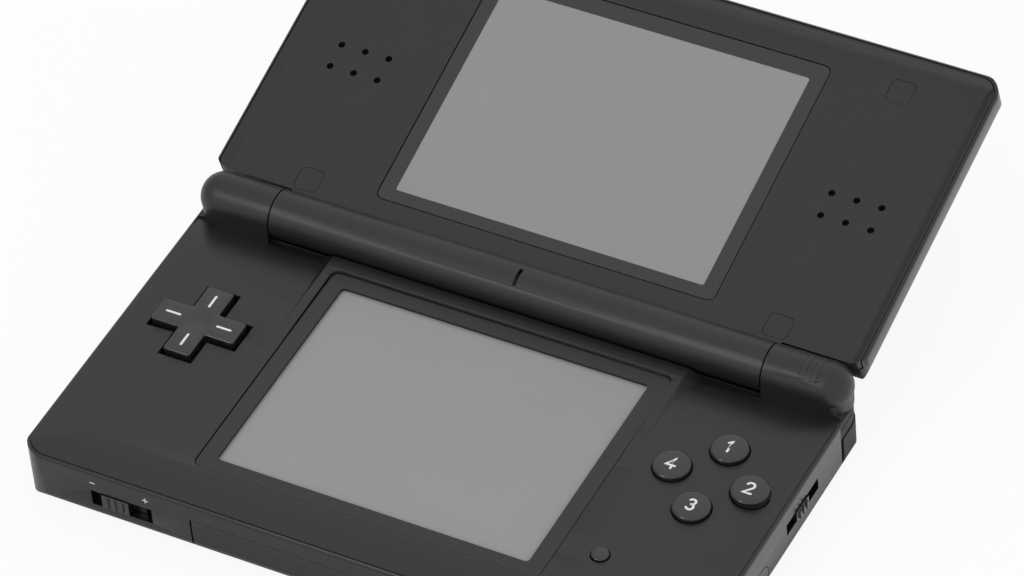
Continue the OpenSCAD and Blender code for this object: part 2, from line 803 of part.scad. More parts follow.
module upper_lens() {
    color([0.12, 0.12, 0.13])
    in_lid()
        plate([-bezel_w / 2, bezel_w / 2], [upper_bezel_y, upper_bezel_y + upper_bezel_d],
            [face_lift - 0.8, face_lift], 1.4, 1.4);
}

module upper_display() {
    color([0.57, 0.56, 0.565])
    in_lid()
        block([-33, 33], [10.2, 60.2], [-3.6, face_under]);
}

// Speaker seen as its frame and magnet
module speaker(x) {
    color([0.25, 0.25, 0.27])
    in_lid() {
        rod_z(x, speaker_y, -3.4, face_under, 7.4);
        rod_z(x, speaker_y, -4.8, -3.2, 4.6);
    }
}

module left_speaker() {
    speaker(-speaker_x);
}

module right_speaker() {
    speaker(speaker_x);
}

module microphone() {
    color([0.7, 0.7, 0.7])
    in_lid()
        rod_z(0.2, 0, 0.4, 2.68, 1.3);
}

module lid_plugs() {
    color([0.16, 0.16, 0.165])
    in_lid()
        for (s = plug_spots)
            plate([s[0] - 2.38, s[0] + 2.38], [s[1] - 2.38, s[1] + 2.38],
                [face_lift - 0.55, face_lift], 1.15, 1.15);
}

module lid_screws() {
    color([0.55, 0.55, 0.57])
    in_lid()
        for (s = plug_spots)
            translate([s[0], s[1], 0])
                mirror([0, 0, 1])
                    screw(0, 0, -face_lift + 0.65, 1.7, 0.45, 0.8, 4.8);
}

module lid_cable() {
    color([0.75, 0.55, 0.2])
    in_lid() {
        rod_x(-59.5, -12, 0, 0, 1.5);
        block([-30, -14], [0, 10], [-1.4, -1.15]);
    }
}

// Ball stud that the direction pad rocks on
module pad_pivot() {
    color([0.7, 0.7, 0.72]) {
        translate([pad_x, pad_y, pad_pivot_z])
            sphere(r = 1.3);
        rod_z(pad_x, pad_y, board_top + 0.15, pad_pivot_z, 0.8);
    }
}

module direction_pad() {
    color([0.16, 0.16, 0.165])
    difference() {
        union() {
            translate([pad_x, pad_y, panel_under - 1])
                linear_extrude(pad_top - 0.3 - panel_under + 1)
                    cross_outline(0);
            translate([pad_x, pad_y, pad_top - 0.4])
                linear_extrude(0.4)
                    cross_outline(-0.25);
            rod_z(pad_x, pad_y, 10.25, 10.95, 9.2);
            rod_z(pad_x, pad_y, 9.9, 10.3, 2.6);
        }
        translate([pad_x, pad_y, pad_pivot_z])
            sphere(r = 1.36);
        rod_z(pad_x, pad_y, 9, pad_pivot_z, 1.36);
        // Hollow of the crossing, pressed lightly into the top
        translate([pad_x, pad_y, pad_top + 9.7])
            sphere(r = 10, $fn = 64);
    }
}

// Round button: cap with a domed edge, flange under the panel and a nub over the membrane
module round_button(d, top, flange_d) {
    rotate_extrude()
        polygon(concat([[0, 10.45], [d * 0.22, 10.45], [d * 0.22, flange_top - 0.75],
            [flange_d / 2, flange_top - 0.75], [flange_d / 2, flange_top], [d / 2, flange_top]],
            [for (i = [0 : 4]) let (a = 90 * i / 4)
                [d / 2 - 0.4 + 0.4 * cos(a), top - 0.4 + 0.4 * sin(a)]],
            [[0, top]]));
}

module face_button(i) {
    color([0.16, 0.16, 0.165])
        at_face(i)
            round_button(face_d, button_top, face_d + 1);
}

module button_right() {
    face_button(0);
}

module button_rear() {
    face_button(1);
}

module button_left() {
    face_button(2);
}

module button_front() {
    face_button(3);
}

module small_button(i) {
    color([0.16, 0.16, 0.165])
        translate([small_spots[i][0], small_spots[i][1], 0])
            round_button(small_d, panel_z + 0.6, small_d + 1.6);
}

module start_button() {
    small_button(0);
}

module select_button() {
    small_button(1);
}

// Corner lever that turns on an upright pin
module shoulder() {
    color([0.12, 0.12, 0.125])
    difference() {
        union() {
            intersection() {
                base_form();
                union() {
                    block([51, half_w + 1], [32, half_d + 1], lever_z);
                    block([63, half_w + 1], [lever_gap_y + 1, half_d + 1], lever_z);
                }
            }
            rod_z(pin_x, pin_y, lever_z[0], lever_z[1], 1.4);
        }
        rod_z(pin_x, pin_y, 1, 10, 0.88);
    }
}

module right_shoulder() {
    shoulder();
}

module left_shoulder() {
    mirror([1, 0, 0])
        shoulder();
}

module volume_slider() {
    color([0.14, 0.14, 0.145]) {
        block([-49.5, -43.9], [-half_d - 0.25, -half_d + wall + 0.3], [3.85, 6.85]);
        block([-52.3, -41.3], [-half_d + wall + 0.15, -33.9], [3.3, 7.6]);
        // Grip ridges
        for (x = [-48.2, -46.7, -45.2])
            block([x - 0.25, x + 0.25], [-half_d - 0.55, -half_d], [4.05, 6.65]);
    }
}

module power_slider() {
    color([0.14, 0.14, 0.145]) {
        block([half_w - wall - 0.3, half_w + 0.3], [8, 12.9], [5.35, 7.45]);
        block([63.6, half_w - wall - 0.15], [6.2, 14.7], [4.8, 8.1]);
        for (y = [9.1, 10.45, 11.8])
            block([half_w, half_w + 0.65], [y - 0.25, y + 0.25], [5.5, 7.3]);
    }
}

module stylus() {
    color([0.14, 0.14, 0.145]) {
        rod_x(half_w - stylus_len + 6, half_w - 4.2, stylus_y, stylus_z, stylus_r);
        // Writing tip
        translate([half_w - stylus_len + 6.02, stylus_y, stylus_z])
            rotate([0, -90, 0])
                rotate_extrude()
                    polygon([[0, 0], [stylus_r, 0], [0.9, 4.6], [0.75, 5.6], [0.4, 6], [0, 6]]);
        // Flat head that closes the port and follows the side of the base
        intersection() {
            translate([0, stylus_y, stylus_z])
                along_x(half_w - 4.6, half_w)
                    polygon(slab(-2.8, 2.8, -2.2, 2.2, [1.5, 1.5], [1.5, 1.5]));
            base_form();
        }
    }
}

module dust_cover() {
    color([0.13, 0.13, 0.135])
    difference() {
        union() {
            intersection() {
                base_form();
                block([-dust_w / 2, dust_w / 2], [-half_d, -34.75], [under_z, dust_top]);
            }
            block([-28.9, 28.9], [-34.8, -15.5], [floor_z + 0.2, 6.9]);
        }
        // Weight-saving hollow, open to the inside of the slot
        block([-27.7, 27.7], [-33.6, -14], [floor_z + 1.3, 5.9]);
    }
}

lower_housing();
control_panel();
touch_bezel();
touch_glass();
lower_display();
main_board();
pad_membrane();
button_membrane();
card_cage();
front_slot_connector();
battery();
battery_cover();
battery_screw();
charging_socket();
headphone_socket();
volume_switch();
power_switch();
shoulder_switches();
shoulder_pins();
wireless_board();
hinge_clutch();
hinge_bush();
light_pipes();
rubber_feet();
case_screws();
lid_cover();
lid_face();
upper_lens();
upper_display();
left_speaker();
right_speaker();
microphone();
lid_plugs();
lid_screws();
lid_cable();
pad_pivot();
direction_pad();
button_rear();
button_right();
button_front();
button_left();
start_button();
select_button();
left_shoulder();
right_shoulder();
volume_slider();
power_slider();
stylus();
dust_cover();
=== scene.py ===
"""Clamshell handheld game console, opened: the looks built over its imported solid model."""

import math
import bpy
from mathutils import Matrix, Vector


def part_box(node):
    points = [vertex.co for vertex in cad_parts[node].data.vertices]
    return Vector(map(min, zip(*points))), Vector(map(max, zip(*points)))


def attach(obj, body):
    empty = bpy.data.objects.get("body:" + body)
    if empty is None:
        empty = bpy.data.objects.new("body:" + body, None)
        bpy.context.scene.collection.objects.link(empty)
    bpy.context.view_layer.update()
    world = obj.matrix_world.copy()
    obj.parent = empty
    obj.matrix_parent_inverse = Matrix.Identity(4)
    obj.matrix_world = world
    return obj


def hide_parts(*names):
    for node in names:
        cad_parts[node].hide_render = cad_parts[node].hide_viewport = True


bl_info = {
    "name": "Clamshell handheld console",
    "version": (1, 0, 0),
    "blender": (4, 5, 0),
    "location": "View3D > Sidebar > Console",
    "description": "Builds the visible pieces of a clamshell handheld game console",
    "category": "Object",
}

import bmesh
import bpy
from bpy.props import FloatProperty, FloatVectorProperty, PointerProperty
from mathutils import Vector

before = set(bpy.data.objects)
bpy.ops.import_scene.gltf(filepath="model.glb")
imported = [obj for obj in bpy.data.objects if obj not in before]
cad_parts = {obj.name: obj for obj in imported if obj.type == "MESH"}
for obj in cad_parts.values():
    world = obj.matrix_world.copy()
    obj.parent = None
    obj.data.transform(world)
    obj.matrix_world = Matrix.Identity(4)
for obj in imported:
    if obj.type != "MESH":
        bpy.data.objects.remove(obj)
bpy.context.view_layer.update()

MM = 0.001
WHITE = (1, 1, 1, 1)

# Lengths in this file are in millimetres unless a line says otherwise
PANEL_Z = 13.2
FRONT_WALL = -36.95
TILT = math.radians(14.7)
HINGE = Vector((0, 32.25, 15.0))
INK_LIFT = 0.002

# Crown of the control panel: where each arc starts to fall, and its radius
PANEL_EDGE = (65.77, 36.22)
SIDE_FALL, SIDE_CURVE = 11.8, 45.688
FRONT_FALL, FRONT_CURVE = 8.0, 21.42
REAR_START, REAR_CURVE = 13.0, 69.0
SHELF_X = 39.2
CROWN_LOW = 11.4
CORNER_BLEND = 5

# Rear corners of the base, which are duller and paler than the rest of its outside
DULL_START = 26.8
DULL_ROUGHNESS, DULL_TONE = 0.5, 1.2

# Rounding of the moulded edges, smoothness of turned parts and of small round corners
SHARP_ANGLE = math.radians(32)
EDGE_STEPS = 2
TURNED_POINTS = 96
CORNER_STEPS = 8
CAP_STEPS = 6


# Sizes and colours

def length(name, description, millimetres):
    """Length in metres that the sidebar shows in the scene's units."""
    return FloatProperty(name=name, description=description, default=millimetres * MM,
                         unit="LENGTH", precision=5, min=0)


def colour(name, description, grey):
    """Linear colour; a single number gives a neutral grey."""
    value = (grey,) * 3 if isinstance(grey, float) else grey
    return FloatVectorProperty(name=name, description=description, default=value,
                               subtype="COLOR", min=0, max=1)


class ConsoleSizes(bpy.types.PropertyGroup):
    edge: length("Moulded edge", "Rounding of the outer edges of the mouldings", 0.14)
    fine_edge: length("Fine edge", "Rounding of the edges of small parts", 0.09)
    seam_edge: length("Seam edge", "Rounding along the close seams of the lid", 0.05)
    button_edge: length("Button edge", "Rounding round the top of a face button", 0.5)
    pad_edge: length("Pad edge", "Rounding round the top of the direction pad", 0.3)
    ink: length("Ink", "Thickness of the printed marks", 0.02)
    stroke: length("Stroke", "Width of the strokes of the numerals", 0.44)
    numeral: length("Numeral", "Height of the numerals on the face buttons", 2.5)


class ConsoleColours(bpy.types.PropertyGroup):
    matte: colour("Matte shell", "Inner faces with a fine moulded grain", 0.0112)
    gloss: colour("Outer shell", "Smooth outer mouldings", 0.005)
    bezel: colour("Bezel", "Frames of the screens", 0.0118)
    display: colour("Display", "Unlit liquid crystal", (0.292, 0.281, 0.283))
    controls: colour("Controls", "Buttons, pad and sliders", 0.0085)
    ink: colour("Ink", "Printed marks", 0.78)
    floor: colour("Floor", "Ground that the console lies on", 0.86)


# Shader expressions

class Value:
    """Socket of a node tree that takes part in arithmetic."""

    def __init__(self, nodes, socket):
        self.nodes = nodes
        self.socket = socket

    def _join(self, operation, first, second):
        node = self.nodes.node("Math", {"operation": operation})
        for slot, item in zip(node.inputs, (first, second)):
            self.nodes.feed(slot, item)
        return Value(self.nodes, node.outputs[0])

    def __add__(self, other):
        return self._join("ADD", self, other)

    def __radd__(self, other):
        return self._join("ADD", other, self)

    def __sub__(self, other):
        return self._join("SUBTRACT", self, other)

    def __rsub__(self, other):
        return self._join("SUBTRACT", other, self)

    def __mul__(self, other):
        return self._join("MULTIPLY", self, other)

    def __rmul__(self, other):
        return self._join("MULTIPLY", other, self)

    def __gt__(self, other):
        return self._join("GREATER_THAN", self, other)

    def maximum(self, other):
        return self._join("MAXIMUM", self, other)

    def fraction(self):
        return self._join("FRACT", self, 0)


class Nodes:
    """Node tree that is written as expressions."""

    def __init__(self, tree, output):
        self.tree = tree
        self.tree.nodes.clear()
        self.output = self.node(output)

    def node(self, kind, settings=None, **sockets):
        """Adds a node; its settings come first, then the values or links of its sockets."""
        node = self.tree.nodes.new("ShaderNode" + kind)
        for key, item in (settings or {}).items():
            setattr(node, key, item)
        for key, item in sockets.items():
            self.feed(node.inputs[key.replace("_", " ")], item)
        return node

    def feed(self, socket, item):
        """Links a value or a socket to a socket, or sets a constant on it."""
        if isinstance(item, Value):
            item = item.socket
        if isinstance(item, bpy.types.NodeSocket):
            self.tree.links.new(item, socket)
        else:
            socket.default_value = item

    def value(self, node, name=0):
        return Value(self, node.outputs[name])

    def blend(self, factor, first, second):
        """Mixes two shaders, where a factor of 1 gives the second."""
        mix = self.node("MixShader")
        for socket, item in zip(mix.inputs, (factor, first.outputs[0], second.outputs[0])):
            self.feed(socket, item)
        return mix

    def seen_directly(self):
        """1 for a ray from the camera or through a clear part, and 0 for the others."""
        path = self.node("LightPath")
        return self.value(path, "Is Camera Ray").maximum(self.value(path, "Is Transmission Ray"))

    def ends_with(self, shader):
        self.feed(self.output.inputs[0], shader.outputs[0])


class Finish(Nodes):
    """Material of one of the console's surfaces."""

    def __init__(self, name):
        self.material = bpy.data.materials.new(name)
        self.material.use_nodes = True
        super().__init__(self.material.node_tree, "OutputMaterial")

    def place(self):
        """Position in the object's own coordinates, in metres."""
        return self.node("TexCoord").outputs["Object"]

    def axis(self, name):
        return self.value(self.node("SeparateXYZ", Vector=self.place()), name)

    def repeat(self, name, pitch):
        """Runs from 0 to 1 again and again along an axis, every pitch millimetres."""
        return (self.axis(name) * (1 / (pitch * MM))).fraction()

    def noise(self, size, detail=2.0, rough=0.5, stretch=None):
        """Noise whose features are about size millimetres across, from 0 to 1."""
        where = self.place()
        if stretch:
            scaled = self.node("VectorMath", {"operation": "MULTIPLY"})
            self.feed(scaled.inputs[0], where)
            self.feed(scaled.inputs[1], stretch)
            where = scaled.outputs[0]
        return self.value(self.node("TexNoise", Vector=where, Scale=1 / (size * MM),
                                    Detail=detail, Roughness=rough))

    def grain(self, size):
        """Small round pits of a spark-eroded mould."""
        return self.value(self.node("TexVoronoi", {"feature": "SMOOTH_F1"}, Vector=self.place(),
                                    Scale=1 / (size * MM), Smoothness=0.7), "Distance")

    def band(self, value, low, high):
        """Value stretched so that low becomes 0 and high becomes 1, held between them."""
        return self.value(self.node("MapRange", {"clamp": True}, Value=value,
                                    From_Min=low, From_Max=high))

    def scuffs(self, size):
        """Mask of thin stray scuffs that run in two directions."""
        one = self.noise(size, 3, 0.6, (0.12, 1, 1))
        two = self.noise(size, 3, 0.6, (1, 0.15, 1))
        where = self.band(self.noise(size * 9, 2), 0.55, 0.7)
        return self.band(one.maximum(two), 0.72, 0.8) * where

    def shade(self, base, amount):
        """Base colour made lighter or darker by amount, around 1."""
        node = self.node("VectorMath", {"operation": "SCALE"}, Scale=amount)
        self.feed(node.inputs[0], tuple(base)[:3])
        return node.outputs[0]

    def mixed(self, factor, first, second):
        """Mixes two colours, where a factor of 1 gives the second."""
        mix = self.node("Mix", {"data_type": "RGBA"})
        for place, item in ((0, factor), (6, first), (7, second)):
            self.feed(mix.inputs[place], item)
        return mix.outputs[2]

    def bump(self, height, distance):
        """Bump from a height between 0 and 1, where distance is in millimetres."""
        return self.node("Bump", Height=height, Distance=distance * MM, Strength=1.0).outputs[0]

    def surface(self, **sockets):
        """Ends the material with a Principled shader."""
        self.ends_with(self.node("BsdfPrincipled", **sockets))


def moulded(name, base, grain_size, grain_depth, rough, gloss_level=0.5, coat=0.0,
            variation=0.06, wear=0.25, dull_behind=None):
    """Moulded plastic: mould grain, slight unevenness of tone, and stray scuffs.

    grain_size and grain_depth are in millimetres; dull_behind is where the dull rear begins.
    """
    finish = Finish(name)
    cloud = finish.noise(14, 3)
    handled = finish.noise(5, 4, 0.6)
    scuffs = finish.scuffs(1.1)
    tone = 1 - variation + cloud * (2 * variation) + scuffs * wear
    relief = finish.grain(grain_size) * 0.7 + finish.noise(grain_size * 0.6, 2) * 0.3
    roughness = rough - 0.05 + handled * 0.1 - scuffs * 0.08
    if dull_behind:
        rear = finish.axis("Y") > dull_behind * MM
        roughness = roughness + rear * DULL_ROUGHNESS
        tone = tone + rear * DULL_TONE
    finish.surface(Base_Color=finish.shade(base, tone),
                   Roughness=roughness,
                   Specular_IOR_Level=gloss_level,
                   Coat_Weight=coat, Coat_Roughness=0.16,
                   Normal=finish.bump(relief, grain_depth))
    return finish.material


def matte_shell(colours):
    return moulded("matte_shell", colours.matte, 0.11, 0.006, 0.38)


def gloss_shell(colours, name="gloss_shell", dull_behind=None):
    return moulded(name, colours.gloss, 0.16, 0.0015, 0.29, 0.44, coat=0.17,
                   variation=0.08, wear=0.5, dull_behind=dull_behind)


def bezel_plastic(colours):
    return moulded("bezel_plastic", colours.bezel, 0.09, 0.003, 0.36, wear=0.3)


def control_plastic(colours):
    return moulded("control_plastic", colours.controls, 0.13, 0.0015, 0.2, 0.72, wear=0.35)


def rubber():
    return moulded("rubber", (0.028,) * 3, 0.35, 0.02, 0.78, 0.35, variation=0.15, wear=0.1)


def silicone():
    return moulded("silicone", (0.19, 0.19, 0.195), 0.5, 0.01, 0.6, 0.4)


def socket_plastic():
    return moulded("socket_plastic", (0.018,) * 3, 0.3, 0.006, 0.42)


def printed_ink(colours):
    """Off-white pad printing with pinholes and slightly uneven cover."""
    finish = Finish("printed_ink")
    cover = finish.band(finish.noise(0.09, 2), 0.2, 0.5)
    tone = 0.82 + cover * 0.18
    finish.surface(Base_Color=finish.shade(colours.ink, tone),
                   Roughness=0.5 - cover * 0.1,
                   Normal=finish.bump(finish.noise(0.12), 0.004))
    return finish.material


def display_glass(name, base, rough):
    """Unlit display: a fine grid of cells under a thin polariser."""
    cell = 0.24
    finish = Finish(name)
    lines = (finish.repeat("X", cell) > 0.88).maximum(finish.repeat("Y", cell) > 0.9)
    cloud = finish.noise(26, 2)
    tone = 0.97 + cloud * 0.07 - lines * 0.05
    finish.surface(Base_Color=finish.shade(base, tone),
                   Roughness=rough + finish.noise(3) * 0.06,
                   Specular_IOR_Level=0.35,
                   Normal=finish.bump(finish.noise(0.3, 2), 0.0008))
    return finish.material


def clear_lens(colours):
    """Printed border of the upper lens, seen through its hard clear face."""
    finish = Finish("clear_lens")
    film = finish.noise(0.25, 2)
    smear = finish.band(finish.noise(11, 4, 0.6, (1, 0.4, 1)), 0.45, 0.75)
    finish.surface(Base_Color=finish.shade(colours.bezel, 0.95 + film * 0.1),
                   Roughness=0.3 + smear * 0.06, Coat_Weight=0.25, Coat_Roughness=0.1,
                   Normal=finish.bump(film, 0.001))
    return finish.material


def drawn_steel(name="drawn_steel", base=(0.56, 0.56, 0.575), rough=0.33):
    """Plated steel with fine drawing lines and dull patches."""
    finish = Finish(name)
    lines = finish.noise(0.12, 3, 0.6, (0.06, 1, 1))
    patches = finish.noise(3, 3)
    finish.surface(Base_Color=finish.shade(base, 0.85 + patches * 0.2),
                   Metallic=1.0, Roughness=rough + lines * 0.12 + patches * 0.08,
                   Normal=finish.bump(lines, 0.004))
    return finish.material


def circuit_board():
    """Green solder mask over copper tracks, with tinned pads."""
    finish = Finish("circuit_board")
    region = finish.noise(7, 1) > 0.5
    along = finish.repeat("Y", 0.9) > 0.55
    across = finish.repeat("X", 1.1) > 0.6
    tracks = along * region + across * (1 - region)
    pads = finish.band(finish.grain(1.9), 0.16, 0.12)
    mask = finish.shade((0.012, 0.095, 0.045), 0.75 + tracks * 0.5)
    tin = (0.55, 0.53, 0.48, 1)
    finish.surface(Base_Color=finish.mixed(pads, mask, tin),
                   Metallic=pads * 0.9, Roughness=0.3 + pads * 0.15,
                   Normal=finish.bump(tracks * 0.6 + pads * 0.4, 0.03))
    return finish.material


def cell_wrap():
    """Shrink film over the battery cell."""
    finish = Finish("cell_wrap")
    creases = finish.noise(2.2, 4, 0.65, (0.3, 1, 1))
    finish.surface(Base_Color=finish.shade((0.17, 0.18, 0.2), 0.85 + creases * 0.3),
                   Roughness=0.28 + creases * 0.15, Normal=finish.bump(creases, 0.05))
    return finish.material


def cable_film():
    """Polyimide film of the flat cable, with its copper lines showing through."""
    finish = Finish("cable_film")
    lines = finish.repeat("X", 0.6) > 0.45
    finish.surface(Base_Color=finish.shade((0.42, 0.23, 0.045), 0.7 + lines * 0.5),
                   Roughness=0.34 - lines * 0.08, Normal=finish.bump(lines * 1.0, 0.01))
    return finish.material


def frosted_window():
    """Smoked translucent plastic of the indicator lights."""
    finish = Finish("frosted_window")
    haze = finish.noise(0.3, 2)
    finish.surface(Base_Color=finish.shade((0.0155, 0.0165, 0.016), 0.85 + haze * 0.3),
                   Roughness=0.4 + haze * 0.1,
                   Normal=finish.bump(haze, 0.002))
    return finish.material


# Meshes

def add_object(name, mesh, body, finish, replaced=(), smooth=28):
    """Links a mesh, finishes it and sets it on the body that carries it."""
    piece = bpy.data.objects.new(name, mesh)
    bpy.context.collection.objects.link(piece)
    mesh.materials.clear()
    mesh.materials.append(finish)
    mesh.shade_smooth()
    mesh.set_sharp_from_angle(angle=math.radians(smooth))
    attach(piece, body)
    if replaced:
        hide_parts(*replaced)
    return piece


def coat_node(node, finish):
    """Gives a carried-over solid its finish."""
    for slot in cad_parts[node].material_slots:
        slot.material = finish


def mesh_from(name, bm):
    """Closes the making of a form: its faces turn outwards and it becomes a mesh."""
    bmesh.ops.recalc_face_normals(bm, faces=bm.faces)
    mesh = bpy.data.meshes.new(name)
    bm.to_mesh(mesh)
    bm.free()
    return mesh


def dressed(name, node, body, finish, edge, shape=None):
    """Stands in for a moulded solid, with its sharp edges rounded as a mould leaves them."""
    same_place, same_plane = 0.002 * MM, math.radians(0.05)
    bm = bmesh.new()
    bm.from_mesh(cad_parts[node].data)
    bmesh.ops.remove_doubles(bm, verts=bm.verts, dist=same_place)
    bmesh.ops.dissolve_limit(bm, angle_limit=same_plane, verts=bm.verts, edges=bm.edges)
    if shape:
        shape(bm)
    mesh = bpy.data.meshes.new(name)
    bm.to_mesh(mesh)
    bm.free()
    piece = add_object(name, mesh, body, finish, (node,))
    bevel = piece.modifiers.new("broken edges", "BEVEL")
    bevel.width = edge
    bevel.segments = EDGE_STEPS
    bevel.limit_method = "ANGLE"
    bevel.angle_limit = SHARP_ANGLE
    bevel.use_clamp_overlap = True
    bevel.harden_normals = True
    bevel.miter_outer = "MITER_ARC"
    return piece


def crown_falls(x, y):
    """How far the side, front and rear arcs of the panel fall at a point, in millimetres."""
    runs = [(abs(x) - PANEL_EDGE[0] + SIDE_FALL, SIDE_CURVE),
            (-y - PANEL_EDGE[1] + FRONT_FALL, FRONT_CURVE)]
    if abs(x) > SHELF_X:
        runs.append((y - REAR_START, REAR_CURVE))
    return [radius - math.sqrt(radius ** 2 - max(run, 0) ** 2) for run, radius in runs]


def even_crown(bm):
    """Cuts the crowned top of the panel into narrow strips and blends its arcs at the corners."""
    margin, fine, coarse = 0.2, 0.6, 1.2
    along_x, along_y = (1, 0, 0), (0, 1, 0)
    # Fine cuts over the side and front falls, and coarse ones from there to the rear edge
    cuts = []
    for side in (-1, 1):
        cuts += [(along_x, side * (PANEL_EDGE[0] - margin - fine * i)) for i in range(20)]
    cuts += [(along_y, -PANEL_EDGE[1] + margin + fine * i) for i in range(12)]
    cuts += [(along_y, REAR_START + coarse * i) for i in range(-33, 12)]
    for normal, place in cuts:
        top = [face for face in bm.faces
               if face.normal.z > 0.9 and face.calc_center_median().z > CROWN_LOW * MM]
        edges = {edge for face in top for edge in face.edges}
        verts = {vert for face in top for vert in face.verts}
        bmesh.ops.bisect_plane(bm, geom=top + list(edges) + list(verts), dist=1e-7,
                               plane_no=normal, plane_co=[n * place * MM for n in normal])
    on_edge, on_crown = 0.01, 0.05  # how near counts as on it
    for vert in bm.verts:
        x, y, z = vert.co / MM
        if abs(x) < PANEL_EDGE[0] + on_edge and z > CROWN_LOW:
            falls = crown_falls(x, y)
            if abs(z - PANEL_Z + max(falls)) < on_crown:
                depth = sum(fall ** CORNER_BLEND for fall in falls) ** (1 / CORNER_BLEND)
                vert.co.z = (PANEL_Z - depth) * MM


def closer_frame(bm):
    """Brings the outer walls of the lower bezel nearer to the panel, for a hairline groove."""
    shift, wall = 0.08, 1.5
    low, high = (corner / MM for corner in map(Vector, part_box("touch_bezel")))
    for vert in bm.verts:
        x, y, z = vert.co / MM
        vert.co.x += shift * MM * ((x > high.x - wall) - (x < low.x + wall))
        vert.co.y += shift * MM * ((y > high.y - wall) - (y < low.y + wall))


def join_rings(bm, low, high):
    """Band of faces between two rings of the same number of points."""
    for i in range(len(low)):
        j = (i + 1) % len(low)
        bm.faces.new((low[i], low[j], high[j], high[i]))


def ring_stack(name, rings):
    """Closed skin through rings of the same number of points."""
    bm = bmesh.new()
    loops = [[bm.verts.new(point) for point in ring] for ring in rings]
    for low, high in zip(loops, loops[1:]):
        join_rings(bm, low, high)
    bm.faces.new(list(reversed(loops[0])))
    bm.faces.new(loops[-1])
    return mesh_from(name, bm)


def turned(name, profile, centre):
    """Lathe-turned form: the profile is a list of radius and height."""
    angles = [2 * math.pi * i / TURNED_POINTS for i in range(TURNED_POINTS)]
    rings = [[Vector((centre[0] + r * math.cos(a), centre[1] + r * math.sin(a), z)) * MM
              for a in angles] for r, z in profile]
    return ring_stack(name, rings)


def arc(cx, cy, radius, start, end, steps=CORNER_STEPS):
    """Points of an arc, with its angles in degrees."""
    angles = [math.radians(start + (end - start) * i / steps) for i in range(steps + 1)]
    return [(cx + radius * math.cos(a), cy + radius * math.sin(a)) for a in angles]


def cross_outline(span, arm, tip, corner):
    """Outline of a direction pad with rounded tips and filleted inner corners."""
    half, side = span / 2, arm / 2
    quarter = arc(half - tip, side - tip, tip, 0, 90)
    quarter += reversed(arc(side + corner, side + corner, corner, 180, 270))
    quarter += arc(side - tip, half - tip, tip, 0, 90)
    points = []
    for turn in range(4):
        c, s = math.cos(math.pi / 2 * turn), math.sin(math.pi / 2 * turn)
        points += [(c * x - s * y, s * x + c * y) for x, y in quarter]
    same_place = 1e-4
    return [p for p, q in zip(points, points[1:] + points[:1])
            if (Vector(p) - Vector(q)).length > same_place]


def rounded_box(box, radius):
    """Outline of a box (x from, x to, y from, y to) with round corners."""
    x0, x1, y0, y1 = box
    corners = ((x1 - radius, y1 - radius, 0), (x0 + radius, y1 - radius, 90),
               (x0 + radius, y0 + radius, 180), (x1 - radius, y0 + radius, 270))
    return [point for x, y, start in corners for point in arc(x, y, radius, start, start + 90)]


def stroke_edges(points, width):
    """Left and right edges of a stroke and the round caps at its end and start."""
    mitre_limit = 0.5
    pts = [Vector(p) for p in points]
    left, right = [], []
    for i, p in enumerate(pts):
        start, end = (p, pts[i + 1]) if i + 1 < len(pts) else (pts[i - 1], p)
        after = (end - start).normalized()
        before = (p - pts[i - 1]).normalized() if i else after
        across = Vector((-(before + after).y, (before + after).x)).normalized()
        reach = width / 2 / max(across.dot(Vector((-before.y, before.x))), mitre_limit)
        left.append(p + across * reach)
        right.append(p - across * reach)

    def round_cap(centre, start):
        """Points of the half circle from one edge round to the other."""
        d = start - centre
        rim = []
        for k in range(1, CAP_STEPS):
            angle = -math.pi * k / CAP_STEPS
            rim.append(centre + Vector((d.x * math.cos(angle) - d.y * math.sin(angle),
                                        d.x * math.sin(angle) + d.y * math.cos(angle))))
        return rim
    return left, round_cap(pts[-1], left[-1]), right, round_cap(pts[0], right[0])


def printed_marks(name, strokes, width, put, thick, body, finish):
    """Thin raised ink along strokes; put turns a point of the artwork and a height into space."""
    bm = bmesh.new()
    for points in strokes:
        parts = stroke_edges(points, width)
        sides = []
        for height in (0.0, thick / MM):
            left, end, right, start = [[bm.verts.new(put(p.x, p.y, height) * MM) for p in part]
                                       for part in parts]
            for i in range(len(left) - 1):
                bm.faces.new((left[i], right[i], right[i + 1], left[i + 1]))
            bm.faces.new([left[-1]] + end + [right[-1]])
            bm.faces.new([right[0]] + start + [left[0]])
            sides.append(left + end + right[::-1] + start)
        join_rings(bm, *sides)
    return add_object(name, mesh_from(name, bm), body, finish)


def in_lid(x, y, z):
    """Point of the lid's own frame brought into the console's frame."""
    c, s = math.cos(TILT), math.sin(TILT)
    return Vector((x, HINGE.y + y * c - z * s, HINGE.z + y * s + z * c))


# Operators

class Builder:
    """What the console's operators share."""
    bl_options = {"REGISTER", "UNDO"}

    def execute(self, context):
        self.build(context.scene.console_sizes, context.scene.console_colours)
        return {"FINISHED"}


class CONSOLE_OT_shells(Builder, bpy.types.Operator):
    """Dresses the moulded shells of the base and the lid"""
    bl_idname = "console.shells"
    bl_label = "Shells"

    def build(self, sizes, colours):
        gloss = gloss_shell(colours)
        housing = gloss_shell(colours, "housing_shell", dull_behind=DULL_START)
        matte = matte_shell(colours)
        dressed("housing_skin", "lower_housing", "base", housing, sizes.edge)
        dressed("panel_skin", "control_panel", "base", matte, sizes.edge,
                shape=even_crown)
        dressed("lid_cover_skin", "lid_cover", "lid", gloss, sizes.edge)
        dressed("lid_face_skin", "lid_face", "lid", matte, sizes.seam_edge)
        dressed("battery_cover_skin", "battery_cover", "base", gloss, sizes.edge)
        dressed("slot_cover_skin", "dust_cover", "dust_cover", gloss, sizes.edge)
        dressed("plug_skins", "lid_plugs", "lid", matte, sizes.seam_edge)
        for side in ("left", "right"):
            dressed(side + "_lever_skin", side + "_shoulder", side + "_shoulder",
                    housing, sizes.edge)


